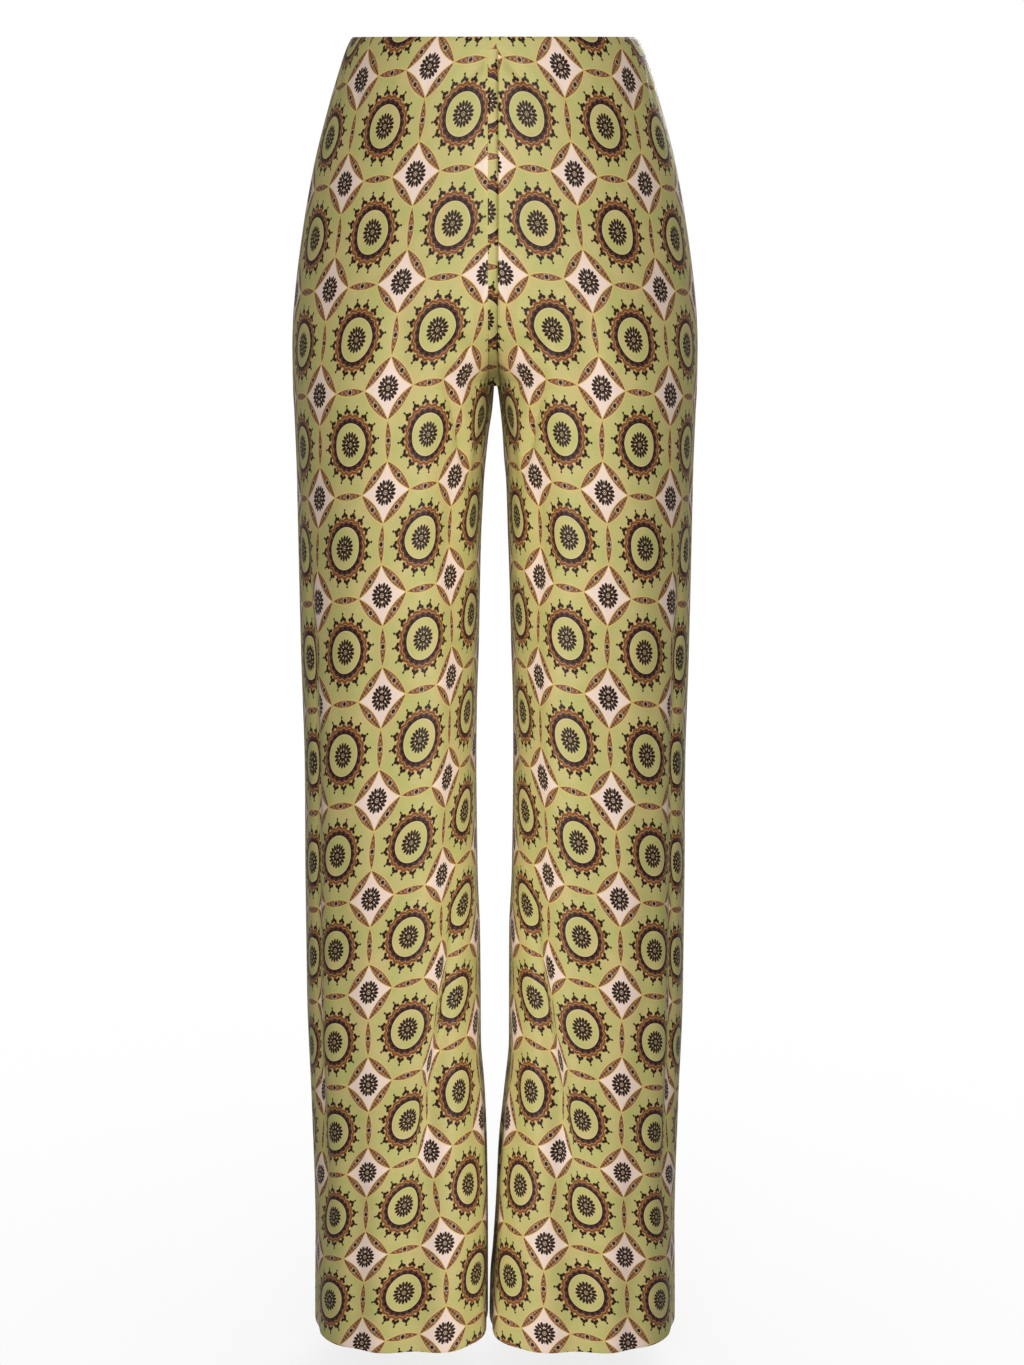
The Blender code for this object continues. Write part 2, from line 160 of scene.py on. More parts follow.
CLOTH = 0.45
SEAM_SINK = 0.75
SEAM_ROUND = 1.2
SEAM_LETS_GO = 4.0
STRIP_GROOVE = 1.1
STRIP_GROOVE_ROUND = 0.8
STRIP_GROOVE_FADE = 8.0
STRIP_ROUND = 0.7 * SEAM_ROUND
STRIP_CROWN = 0.3
STRIP_COLUMNS = np.array([0, 0.06, 0.14, 0.3, 0.5, 0.7, 0.86, 0.94, 1])
TOP_SINK = 0.8
TOP_ROUND = 1.3
HEM_SINK = 0.5
HEM_ROUND = 1.0
HEM_DEPTH = 22.0
HEM_DIP = 7.0
HEM_DIP_RISE = 60.0
LAYER_STEP = 0.62
ALLOWANCE_COLUMNS = 7
FACING_BOTTOM = -33.0
FACING_ROWS = np.array([-0.6, -1.4, -2.6, *np.arange(-5.0, -32.0, -3.0), -32.4, FACING_BOTTOM])
FACING_PRINT_SHIFT = (0.3, 0.45)
SHARP_FROM = math.radians(50)

# Columns lie close together beside a seam. Rows lie close at the edges and where the crotch curves.
SEAM_COLUMNS = np.array([0, 0.5, 1.1, 1.9, 3.0, 4.6])
MIDDLE_COLUMNS = 66
ROW_STEP = 4.0
TOP_ROWS = (0, -0.4, -1.0, -1.8, -3.0, -5.0, -7.5, NOTCH_ABOVE, NOTCH_BELOW, -12.0)
CROTCH_ROWS = (-262, -264.5, -267, -268.5, -270, -271.7, -273.5, -275.2, -277, -279, -281, -283.5, -286)
HEM_ROWS = (-1097.0, -1098.4, -1099.4, HEM)

# Creases: each point is arc, height, depth and half width. A depth below zero is a soft ridge.
FRONT_CREASES = (
    # At the waist, short and narrow.
    ((169, -12, 0, 3), (165, -21, 3.4, 3.2), (160, -31, 2.8, 3.4), (152, -44, 0, 4)),
    ((133, -28, 0, 4), (131, -40, 1.2, 4), (127, -56, 0, 5)),
    ((64, -22, 0, 4), (66, -34, 1.5, 4), (71, -50, 1, 4.5), (75, -66, 0, 5)),
    ((30, -26, 0, 4), (33, -37, 1.6, 4), (41, -58, 0, 5)),
    ((96, -30, 0, 4), (98, -44, 0.9, 5), (103, -60, 0, 5)),
    # From the crotch down the thigh.
    ((203, -222, 0, 5), (206, -250, 2.6, 5), (213, -275, 3.2, 5), (221, -298, 4.4, 5), (228, -321, 5, 5),
     (232, -334, 4.2, 5), (236, -350, 2, 6), (240, -372, 0, 7)),
    ((216, -330, 0, 6), (210, -385, 1.4, 7), (207, -440, 0.5, 8), (204, -500, 0, 9)),
    ((201, -590, 0, 8), (203, -670, 1.2, 7), (205, -730, 0, 7)),
    ((240, -292, 0, 7), (236, -322, -1.8, 8), (232, -372, -1.2, 9), (226, -420, 0, 9)),
    ((217, -178, 0, 6), (219, -200, 2.4, 6), (223, -230, 2.6, 6), (230, -256, 0, 7)),
    ((246, -246, 0, 6), (230, -240, 2.2, 6), (208, -236, 1.6, 7), (184, -238, 0, 8)),
    ((266, -272, 0, 5), (246, -268, 2.2, 6), (222, -262, 1.2, 7), (200, -262, 0, 8)),
    ((276, -300, 0, 6), (262, -318, 2.4, 7), (250, -345, 1.6, 8), (244, -372, 0, 8)),
    ((162, -190, 0, 8), (166, -220, 1.8, 8), (171, -252, 1.6, 9), (172, -300, 0, 10)),
    ((262, -432, 0, 6), (246, -446, 1.8, 7), (226, -452, 0, 8)),
    ((258, -560, 0, 7), (246, -590, 1.8, 8), (230, -606, 0, 8)),
    ((190, -440, 0, 10), (184, -520, -1.6, 10), (182, -600, -1.2, 11), (184, -660, 0, 11)),
    ((132, -400, 0, 12), (128, -500, 1.6, 12), (132, -600, 1.2, 13), (136, -680, 0, 13)),
    # Down the outer side of the leg, deep and narrow.
    ((58, -380, 0, 6), (61, -430, 2.4, 6), (62, -520, 3.8, 6), (62, -640, 4.4, 5.5), (64, -760, 4.6, 5.5),
     (67, -850, 4, 6), (70, -930, 2.8, 7), (72, -1010, 0, 8)),
    ((80, -440, 0, 8), (82, -560, -1.2, 8), (84, -760, -1.4, 8), (88, -900, 0, 9)),
    ((34, -300, 0, 8), (36, -360, 1.8, 8), (32, -440, 0, 9)),
    # Beside the great fold of the shin.
    ((204, -690, 0, 6), (205, -730, 3, 6), (200, -765, 3.8, 5.5), (194, -800, 4, 5.5), (184, -850, 4, 6),
     (176, -890, 3.2, 7), (172, -950, 2, 8), (168, -1020, 1.4, 9), (166, -1098, 1, 9)),
    ((188, -720, 0, 6), (184, -770, -1.4, 6), (174, -820, -1.8, 6), (164, -870, -1.6, 7), (156, -930, 0, 8)),
    ((236, -820, 0, 8), (238, -880, -1.8, 9), (240, -950, -2.4, 10), (242, -1030, -1.5, 11),
     (242, -1098, -1, 11)),
    ((270, -860, 0, 8), (266, -930, 1.8, 9), (268, -1010, 2, 10), (270, -1098, 1.6, 10)),
    ((112, -880, 0, 12), (108, -960, 1.8, 12), (108, -1098, 1.6, 12)),
    ((40, -990, 0, 10), (38, -1050, 1.8, 11), (40, -1098, 2, 12)),
    ((206, -980, 0, 9), (210, -1040, 1.5, 10), (212, -1098, 1.8, 11)),
)
# Where a deep crease takes cloth in, so the print is squeezed: height, arc, how much, half width.
FRONT_TAKE_UPS = (
    ((-400, 59, 0, 6), (-450, 61, 10, 6), (-520, 62, 18, 6), (-640, 62, 24, 6), (-760, 64, 26, 6),
     (-850, 67, 22, 6), (-930, 70, 12, 7), (-1010, 72, 0, 8)),
    ((-690, 200, 0, 7), (-745, 195, 10, 7), (-790, 183, 16, 7), (-850, 172, 20, 7), (-905, 165, 14, 8),
     (-960, 162, 5, 9), (-1000, 160, 0, 9)),
)
BACK_CREASES = {
    "right": (
        ((150, -26, 0, 5), (146, -40, 1.7, 6), (140, -60, 0, 6)),
        ((112, -24, 0, 6), (108, -44, 1.4, 6), (104, -70, 0, 7)),
        ((40, -26, 0, 5), (44, -40, 1.7, 6), (52, -64, 0, 6)),
        ((70, -30, 0, 5), (76, -52, 1.2, 6), (84, -76, 0, 7)),
        ((226, -252, 0, 9), (206, -262, 3.7, 10), (176, -268, 3.1, 11), (142, -266, 0, 12)),
        ((248, -292, 0, 8), (226, -300, 4.1, 9), (190, -300, 3.1, 10), (150, -290, 0, 11)),
        ((240, -330, 0, 8), (222, -345, 3.1, 9), (196, -350, 0, 10)),
        ((90, -300, 0, 11), (84, -370, 2.4, 12), (86, -450, 0, 12)),
        ((40, -230, 0, 10), (46, -300, 2, 11), (44, -380, 0, 11)),
        ((226, -530, 0, 8), (206, -542, 2.7, 8), (176, -545, 2, 9), (150, -540, 0, 9)),
        ((240, -574, 0, 8), (214, -590, 3.4, 8), (180, -596, 2.4, 9), (140, -590, 0, 9)),
        ((60, -556, 0, 8), (86, -572, 2.4, 9), (120, -574, 0, 9)),
        ((236, -626, 0, 8), (206, -634, 2.5, 9), (170, -630, 0, 9)),
        ((200, -700, 0, 11), (196, -800, -3.1, 12), (190, -900, 0, 12)),
        ((150, -860, 0, 11), (146, -960, 2.7, 12), (144, -1098, 2.7, 12)),
        ((36, -820, 0, 11), (34, -930, 2.7, 12), (36, -1098, 2.4, 12)),
    ),
    "left": (
        ((144, -28, 0, 5), (138, -46, 1.9, 6), (134, -66, 0, 6)),
        ((100, -26, 0, 6), (98, -48, 1.4, 6), (92, -74, 0, 7)),
        ((34, -26, 0, 5), (40, -42, 1.7, 6), (46, -58, 0, 6)),
        ((220, -244, 0, 9), (200, -250, 3.1, 10), (168, -252, 2.4, 11), (136, -246, 0, 12)),
        ((246, -284, 0, 8), (222, -290, 4.4, 9), (180, -288, 3.1, 10), (132, -272, 0, 11)),
        ((244, -316, 0, 8), (226, -328, 2.7, 9), (202, -330, 0, 10)),
        ((232, -352, 0, 8), (214, -366, 2.2, 9), (192, -370, 0, 10)),
        ((100, -280, 0, 11), (96, -360, 2, 12), (100, -430, 0, 12)),
        ((36, -250, 0, 10), (40, -330, 2.4, 11), (36, -400, 0, 11)),
        ((232, -548, 0, 8), (204, -560, 3.2, 8), (170, -564, 2.2, 9), (142, -558, 0, 9)),
        ((238, -600, 0, 8), (210, -612, 2.5, 9), (176, -612, 0, 9)),
        ((50, -580, 0, 8), (80, -594, 2.7, 9), (118, -590, 0, 9)),
        ((210, -680, 0, 11), (204, -780, -3.1, 12), (196, -880, 0, 12)),
        ((160, -880, 0, 11), (158, -980, 2.7, 12), (158, -1098, 2.5, 12)),
        ((40, -780, 0, 11), (36, -900, 2.5, 12), (40, -1098, 2.7, 12)),
    ),
}

# How the print lies. For each row of medallions: the height of its main column, the arc of that column, the
# spacing to the columns nearer the side and nearer the middle, and how much the row rises over each spacing.
FRONT_PRINT = (
    (23.5, 144, 58, 60, 11, 8),
    (-58, 167.8, 60.4, 62, 10, 8),
    (-141, 187.1, 63.2, 66, 7.5, 6),
    (-222.5, 195.2, 64, 70, 9, 6),
    (-306, 188.8, 65, 74, 8.5, 6),
    (-389, 174.6, 65, 71.4, 10, 8),
    (-472, 171.4, 66.5, 70.4, 13, 8.5),
    (-557, 163.8, 66.6, 66, 15.5, 12),
    (-644, 155.6, 64.4, 66.5, 15, 14.5),
    (-725, 154.2, 64.4, 68, 16, 15),
    (-805.5, 154.6, 66.1, 69, 17, 17.5),
    (-888, 154.3, 68.2, 68, 16.5, 19),
    (-965.5, 149.4, 68, 67, 17.5, 12),
    (-1045, 148.4, 74, 73.4, 17, 6),
    (-1126, 148.4, 74, 74, 17, 6),
)
BACK_PRINT = (
    (20, 118, 62, 64, 9, 7),
    (-63, 128, 64, 66, 9, 7),
    (-230, 150, 66, 70, 9, 8),
    (-395, 142, 66, 70, 12, 10),
    (-560, 134, 67, 67, 15, 13),
    (-730, 128, 66, 66, 16, 14),
    (-895, 126, 67, 66, 17, 13),
    (-1060, 122, 70, 68, 17, 10),
    (-1142, 120, 70, 70, 17, 9),
)
BACK_PRINT_ROWS = (0, 1, 3, 5, 7, 9, 11, 13, 14)
BACK_PRINT_SHIFT = {"right": (0, 0), "left": (0.16, 0.22)}
# The strip has its own piece of the print: height and place across at two points, and its own spacings.
STRIP_PRINT = {"top": (-60, 0.07), "bottom": (-260, 0.12), "spacing": 66, "row": 84, "row_at": -48.0}


def smooth_value(table, column, height):
    """A column of a table at a height, on a smooth curve that never swings past its rows."""
    heights = np.array(sorted(table), float)
    values = np.array([table[int(row)][column] for row in heights], float)
    height = min(max(height, heights[0]), heights[-1])
    steps = np.diff(heights)
    slopes = np.diff(values) / steps
    tangents = np.zeros(len(values))
    for i in range(1, len(values) - 1):
        before, after = slopes[i - 1], slopes[i]
        if before * after > 0:
            tangents[i] = 2 * before * after / (before + after)
    tangents[0], tangents[-1] = slopes[0], slopes[-1]
    i = int(np.clip(np.searchsorted(heights, height) - 1, 0, len(steps) - 1))
    t = (height - heights[i]) / steps[i]
    return (
        (1 + 2 * t) * (1 - t) ** 2 * values[i]
        + t * (1 - t) ** 2 * steps[i] * tangents[i]
        + t * t * (3 - 2 * t) * values[i + 1]
        - t * t * (1 - t) * steps[i] * tangents[i + 1]
    )


def shape_at(height):
    return {name: smooth_value(SHAPE, i, height) for i, name in enumerate(SHAPE_COLUMNS)}


def inner_at(leg, height):
    return smooth_value(INNER, LEG_COLUMNS.index(leg), height)


def edge_at(leg, height):
    """Where the front panel of a leg stops beside the strip, or beside the other panel above it."""
    if height >= NOTCH_ABOVE:
        return TOP_SEAM_X if leg == "left" else -TOP_SEAM_X
    return smooth_value(EDGE, LEG_COLUMNS.index(leg), height)


def quarter(x_reach, y_reach, power):
    """A quarter of a squared ellipse, from the end on X to the end on Y."""
    t = np.linspace(0, np.pi / 2, QUARTER_STEPS)
    return x_reach * np.cos(t) ** (2 / power), y_reach * np.sin(t) ** (2 / power)


def crotch_curve(start, end, rise, above):
    """How far the crotch seam has swung from end to start at a distance above the crotch."""
    left = max(0.0, 1 - above / rise)
    return end + (start - end) * max(LEAST_SWING, left ** CROTCH_POWER)


def front_crotch_y(leg):
    """Where the front panel's edge meets the leg tube at the height where the back panels meet."""
    low = shape_at(BACK_MEETING)
    power = low["front_inner"]
    share = (low["front_x"] - edge_at(leg, BACK_MEETING)) / (low["front_x"] - inner_at(leg, BACK_MEETING))
    return low["inner_y"] - (low["inner_y"] - low["front_y"]) * (1 - share**power) ** (1 / power)


def inner_reach(shape, leg, height, face):
    """The X at which the inner quarter of a face ends. Above the crotch it lies past the middle."""
    if height <= BACK_MEETING:
        return inner_at(leg, height)
    above = height - BACK_MEETING
    peak_x, peak_y, power = shape[face + "_x"], shape[face + "_y"], shape[face + "_inner"]
    if face == "front":
        cut = edge_at(leg, min(height, NOTCH_BELOW))
        seam_y = crotch_curve(front_crotch_y(leg), peak_y, FRONT_CURVE_RISE, above)
    else:
        cut = 0.0
        seam_y = crotch_curve(shape_at(BACK_MEETING)["inner_y"], peak_y, BACK_CURVE_RISE, above)
    if peak_x <= cut + LEAST_INNER_QUARTER:
        return cut - PAST_THE_MIDDLE
    across = (shape["inner_y"] - seam_y) / (shape["inner_y"] - peak_y)
    share = (1 - min(max(across, 0.0), FLATTEST) ** power) ** (1 / power)
    return peak_x - (peak_x - cut) / share


def face_line(leg, height, face):
    """The outline of a face from the side to past its end, and the arc at which the panel ends."""
    shape = shape_at(height)
    peak_x, peak_y = shape[face + "_x"], shape[face + "_y"]
    side_y, inner_y = shape["side_y"], shape["inner_y"]
    x, y = quarter(shape["side"] - peak_x, peak_y - side_y, shape[face + "_outer"])
    line = [np.column_stack([peak_x + x, side_y + y])]
    reach = inner_reach(shape, leg, height, face)
    for on, order in ((face, -1), ("back" if face == "front" else "front", 1)):
        on_x, on_y = shape[on + "_x"], shape[on + "_y"]
        x, y = quarter(on_x - reach, on_y - inner_y, shape[on + "_inner"])
        line.append(np.column_stack([on_x - x, inner_y + y])[::order][1:])
    line = np.concatenate(line)
    arc = np.concatenate([[0], np.cumsum(np.linalg.norm(np.diff(line, axis=0), axis=1))])
    turn = 2 * QUARTER_STEPS - 2
    forward = smooth_value(INSEAM_FORWARD, 0, height)
    if height <= LEGS_CLOSED:
        order = 1 if face == "front" else -1
        inside = slice(QUARTER_STEPS, None)
        return line, arc, np.interp(order * (inner_y - forward), order * line[inside, 1], arc[inside])
    if face == "back" and height <= BACK_MEETING:
        seam_y = inner_y - forward * (BACK_MEETING - height) / (BACK_MEETING - LEGS_CLOSED)
        return line, arc, np.interp(-seam_y, -line[turn:, 1], arc[turn:])
    cut = edge_at(leg, height) if face == "front" else 0.0
    return line, arc, np.interp(-cut, -line[: turn + 1, 0], arc[: turn + 1])


def column_arcs(leg, height, face, end):
    """The arcs of a row's columns: close beside the seams, and even between them."""
    columns = np.linspace(0, 1, MIDDLE_COLUMNS)
    even = end
    # Round the crotch the panel's end moves fast, and the columns far from it stay calm.
    if CALM_BOTTOM < height < CALM_TOP:
        share = (CALM_TOP - height) / (CALM_TOP - CALM_BOTTOM)
        top_end = face_line(leg, CALM_TOP, face)[2]
        bottom_end = face_line(leg, CALM_BOTTOM, face)[2]
        even = top_end + (bottom_end - top_end) * share
    middle = even * columns + (end - even) * columns**COLUMN_POWER
    beside = SEAM_COLUMNS[-1]
    middle = beside + middle * (end - 2 * beside) / end
    return np.concatenate([SEAM_COLUMNS[:-1], middle, end - SEAM_COLUMNS[:-1][::-1]])


def row_heights():
    even = np.arange(TOP_ROWS[-1] - ROW_STEP, HEM_ROWS[0] - ROW_STEP / 2 + 1, -ROW_STEP)
    top, bottom = CROTCH_ROWS[0], CROTCH_ROWS[-1]
    even = [h for h in even if not bottom - ROW_STEP / 2 < h < top + ROW_STEP / 2]
    return np.array(sorted([*TOP_ROWS, *even, *CROTCH_ROWS, *HEM_ROWS], reverse=True))


def tube_grid(leg, face, heights):
    """Points of the smooth tube on a panel, with the arc of each and the arc at which each row ends."""
    points, arcs, ends = [], [], []
    for height in heights:
        line, arc, end = face_line(leg, height, face)
        at = column_arcs(leg, height, face, end)
        x, y = np.interp(at, arc, line[:, 0]), np.interp(at, arc, line[:, 1])
        points.append(np.column_stack([x, y, np.full(len(at), float(height))]))
        arcs.append(at)
        ends.append(end)
    return np.array(points), np.array(arcs), np.array(ends)[:, None]


def outward(points, face):
    """Unit vectors out of a grid of points on the +X leg."""
    along = np.gradient(points, axis=1)
    down = np.gradient(points, axis=0)
    normal = np.cross(along, -down) * (1 if face == "back" else -1)
    return normal / np.linalg.norm(normal, axis=2, keepdims=True)


def kept_on_seam(normals, heights):
    """Normals that hold the edge of the cloth on the middle seam, down to where the legs part."""
    share = np.clip((heights - LEGS_CLOSED) / SEAM_LETS_GO, 0, 1)
    normals[:, -1, 0] *= 1 - share
    return normals


def line_at(line, heights):
    """Where a line of a table lies at each height, its size there and its half width. It ends at its ends."""
    rows = np.array(line, float)[::-1]
    middle, size, half = (np.interp(heights, rows[:, 0], rows[:, i]) for i in (1, 2, 3))
    return middle, np.where((heights >= rows[0, 0]) & (heights <= rows[-1, 0]), size, 0), half


def fold_depth(folds, x, heights):
    """How far the large folds press the cloth in."""
    depth = np.zeros(x.shape)
    for fold in folds:
        middle, deep, half = (values[:, None] for values in line_at(fold, heights))
        depth += deep * np.exp(-(((x - middle) / half) ** 2))
    return depth


def crease_depth(creases, arc, height):
    """How far the creases press the cloth in, at each point of a panel."""
    depth = np.zeros(arc.shape)
    for crease in creases:
        nearest = np.full(arc.shape, np.inf)
        deep, half = np.zeros(arc.shape), np.ones(arc.shape)
        for start, end in zip(crease[:-1], crease[1:]):
            run, fall = end[0] - start[0], end[1] - start[1]
            share = ((arc - start[0]) * run + (height - start[1]) * fall) / (run * run + fall * fall)
            share = np.clip(share, 0, 1)
            away = (arc - start[0] - share * run) ** 2 + (height - start[1] - share * fall) ** 2
            closer = away < nearest
            nearest = np.where(closer, away, nearest)
            deep = np.where(closer, start[2] + (end[2] - start[2]) * share, deep)
            half = np.where(closer, start[3] + (end[3] - start[3]) * share, half)
        depth += deep * np.exp(-nearest / half**2)
    return depth


def hem_dip(points, level):
    """How much lower the hem hangs at the sides of a leg than at its front and back."""
    deepest = np.abs(points[..., 1]).max(axis=1, keepdims=True)
    sideways = 1 - np.abs(points[..., 1]) / deepest
    near = np.clip(1 - (level - HEM) / HEM_DIP_RISE, 0, 1)
    return HEM_DIP * sideways * near * near


def seam_sink(from_edge, deep, round_over):
    """How far the cloth sinks beside an edge or a seam."""
    return deep * np.exp(-((from_edge / round_over) ** 2))


def strip_groove(from_edge, height):
    """The deep line along the strip's left edge, where the cloth is lapped."""
    fade = np.minimum(NOTCH_BELOW - height, height - LEGS_CLOSED) / STRIP_GROOVE_FADE
    return seam_sink(from_edge, STRIP_GROOVE, STRIP_GROOVE_ROUND) * np.clip(fade, 0, 1)


def eased(away, width):
    """From 0 to 1 across a width that has its middle where away is 0, with soft ends."""
    share = np.clip(away / width + 0.5, 0, 1)
    return share * share * (3 - 2 * share)


def taken_up(arc, height):
    """The arc along the cloth, with what the deep creases take in. The main column of the print stays."""
    cloth = arc.copy()
    for line in FRONT_TAKE_UPS:
        at, much, half = line_at(line, height)
        share = eased(arc - at, 2 * half)
        cloth += much * np.where(at < TAKE_UP_SIDE, share - 1, share)
    return cloth


def print_place(rows, numbers, arc, height, shift=(0.0, 0.0)):
    """Where each point lies in the print: whole numbers are the middles of the medallions."""
    rows = np.array(rows, float)
    line_height = []
    for row_height, row_arc, out, inward, rise_out, rise_in in rows:
        away = arc - row_arc
        slope = rise_out / out + (rise_in / inward - rise_out / out) * eased(away, out + inward)
        line_height.append(row_height + slope * away)
    line_height = np.array(line_height)
    number = np.full(arc.shape, float(numbers[0]))
    for i in range(len(numbers) - 1):
        share = (line_height[i] - height) / (line_height[i] - line_height[i + 1])
        number += (numbers[i + 1] - numbers[i]) * np.clip(share, 0, 1)
    main, out, inward = (np.interp(number, numbers, rows[:, i]) for i in (1, 2, 3))
    away = arc - main
    spacing = out + (inward - out) * eased(away, out + inward)
    return np.stack([away / spacing + shift[0], -number + shift[1]], axis=-1)


# ---- meshes

RIGHT_SIDE, WRONG_SIDE = 0, 1


class ClothMesh:
    """Gathers layers of cloth, each a closed thin sheet between two grids, into one mesh."""

    def __init__(self, mirrored=False):
        self.mirrored = mirrored
        self.points, self.faces, self.sides = [], [], []
        self.prints, self.weaves = [], []
        self.count = 0

    def add_layer(self, outer, inner, print_at, weave_at, ring=False, sides=(RIGHT_SIDE, WRONG_SIDE)):
        rows, columns = outer.shape[:2]
        under = rows * columns
        spans = columns if ring else columns - 1
        row, column = np.meshgrid(np.arange(rows - 1), np.arange(spans), indexing="ij")
        a = (row * columns + column).ravel()
        b = (row * columns + (column + 1) % columns).ravel()
        c, d = b + columns, a + columns
        faces = [np.column_stack([a, d, c, b]), np.column_stack([a, b, c, d]) + under]
        sides = [np.full(len(a), sides[0]), np.full(len(a), sides[1])]
        rims = []
        if not ring:
            first = np.arange(rows - 1) * columns
            last = first + columns - 1
            rims.append(np.column_stack([first, first + under, first + under + columns, first + columns]))
            rims.append(np.column_stack([last, last + columns, last + under + columns, last + under]))
        for start, turned in ((0, True), ((rows - 1) * columns, False)):
            near = start + np.arange(spans)
            far = start + (np.arange(spans) + 1) % columns
            rim = np.column_stack([near, near + under, far + under, far])
            rims.append(rim[:, ::-1] if turned else rim)
        rims = np.concatenate(rims)
        faces.append(rims)
        sides.append(np.full(len(rims), RIGHT_SIDE))
        faces = np.concatenate(faces)
        points = np.concatenate([outer.reshape(-1, 3), inner.reshape(-1, 3)])
        corners = points[faces]
        one, two = corners[:, 2] - corners[:, 0], corners[:, 3] - corners[:, 1]
        volume = np.einsum("ij,ij->", corners.mean(axis=1), np.cross(one, two))
        if volume < 0:
            faces = faces[:, ::-1]
        self.points.append(points)
        self.faces.append(faces + self.count)
        self.sides.append(np.concatenate(sides))
        self.prints.append(np.tile(print_at.reshape(-1, 2), (2, 1)))
        self.weaves.append(np.tile(weave_at.reshape(-1, 2), (2, 1)))
        self.count += len(points)

    def make(self, name, materials):
        points = np.concatenate(self.points) * MM
        faces = np.concatenate(self.faces)
        if self.mirrored:
            points = points * (-1, 1, 1)
            faces = faces[:, ::-1]
        mesh = bpy.data.meshes.new(name)
        mesh.vertices.add(len(points))
        mesh.vertices.foreach_set("co", points.astype(np.float32).ravel())
        mesh.loops.add(faces.size)
        mesh.loops.foreach_set("vertex_index", faces.astype(np.int32).ravel())
        mesh.polygons.add(len(faces))
        mesh.polygons.foreach_set("loop_start", np.arange(0, faces.size, 4, dtype=np.int32))
        mesh.polygons.foreach_set("material_index", np.concatenate(self.sides).astype(np.int32))
        mesh.update(calc_edges=True)
        for layer, values in (("print", self.prints), ("weave", self.weaves)):
            values = np.concatenate(values)[faces.ravel()]
            mesh.uv_layers.new(name=layer).data.foreach_set("uv", values.astype(np.float32).ravel())
        for material in materials:
            mesh.materials.append(material)
        mesh.validate()
        mesh.shade_smooth()
        mesh.set_sharp_from_angle(angle=SHARP_FROM)
        return put_in_scene(name, mesh)


# ---- shader helpers


def paint(red, green, blue):
    """A colour as it looks on a screen, from 0 to 255, in the linear numbers that a shader takes."""
    levels = [level / 255 for level in (red, green, blue)]
    return (*[s / 12.92 if s <= 0.04045 else ((s + 0.055) / 1.055) ** 2.4 for s in levels], 1.0)


def set_inputs(tree, node, inputs):
    """Give a node's inputs, by name or number, a measure, an output of another node or a plain value."""
    for label, value in dict(inputs).items():
        if isinstance(value, Measure):
            value = value.socket
        if isinstance(value, bpy.types.NodeSocket):
            tree.links.new(value, node.inputs[label])
        else:
            node.inputs[label].default_value = value


def new_node(tree, kind, inputs=(), **settings):
    node = tree.nodes.new("ShaderNode" + kind)
    for name, value in settings.items():
        setattr(node, name, value)
    set_inputs(tree, node, inputs)
    return node


class Measure:
    """A number that changes over the cloth. Signs between measures become math nodes."""

    def __init__(self, tree, socket):
        self.tree, self.socket = tree, socket

    def math(self, operation, *others, clamp=False):
        inputs = dict(enumerate((self, *others)))
        node = new_node(self.tree, "Math", inputs, operation=operation, use_clamp=clamp)
        return Measure(self.tree, node.outputs[0])

    def __add__(self, other):
        return self.math("ADD", other)

    def __sub__(self, other):
        return self.math("SUBTRACT", other)

    def __mul__(self, other):
        return self.math("MULTIPLY", other)

    def __truediv__(self, other):
        return self.math("DIVIDE", other)

    def __abs__(self):
        return self.math("ABSOLUTE")

    def less_from(self, start):
        """start minus this measure."""
        return self.math("MULTIPLY_ADD", -1.0, start)

    def smaller(self, other):
        return self.math("MINIMUM", other)

    def larger(self, other):
        return self.math("MAXIMUM", other)

    def root(self):
        return self.math("SQRT")


# How soft the edges of the inks are, in shares of the spacing between medallions.
INK_EDGE, FINE, MIDDLING, SPECKLED, MISTY = 0.005, 0.003, 0.004, 0.25, 0.03


def inked(depth, edge=INK_EDGE):
    """1 where depth is above zero, with a soft edge as ink has on cloth."""
    return depth.math("MULTIPLY", 1 / edge, clamp=True)


def within(value, low, high):
    """How deep a value lies between two others. Outside them it is below zero."""
    return (value - low).smaller(value.less_from(high))


def band(value, low, high, edge):
    return inked(within(value, low, high), edge)


def length_of(x, y):
    return (x * x + y * y).root()


def new_group(name, inputs, outputs):
    """An empty shader group. inputs and outputs are (kind, name) pairs."""
    group = bpy.data.node_groups.new(name, "ShaderNodeTree")
    for in_out, sockets in (("INPUT", inputs), ("OUTPUT", outputs)):
        for kind, label in sockets:
            group.interface.new_socket(name=label, in_out=in_out, socket_type="NodeSocket" + kind)
    return group, group.nodes.new("NodeGroupInput"), group.nodes.new("NodeGroupOutput")


def noise(tree, place, scale, detail):
    """Uneven values from 0 to 1 over the cloth."""
    node = new_node(tree, "TexNoise", {"Vector": place, "Scale": scale, "Detail": detail})
    return Measure(tree, node.outputs["Fac"])


def blend_colour(tree, mask, below, above):
    """One colour laid over another where the mask is 1."""
    return new_node(tree, "Mix", {0: mask, 6: below, 7: above}, data_type="RGBA").outputs[2]


# ---- the print

LEAF_GREEN = paint(187, 183, 112)
KHAKI = paint(203, 186, 124)
SHELL_PINK = paint(240, 216, 200)
RUST = paint(152, 88, 48)
UMBER = paint(140, 94, 62)
GOLD = paint(224, 190, 112)
BARK = paint(48, 28, 18)
PLUM = paint(68, 27, 26)
MAUVE = paint(186, 140, 140)
CREAM = paint(232, 208, 172)

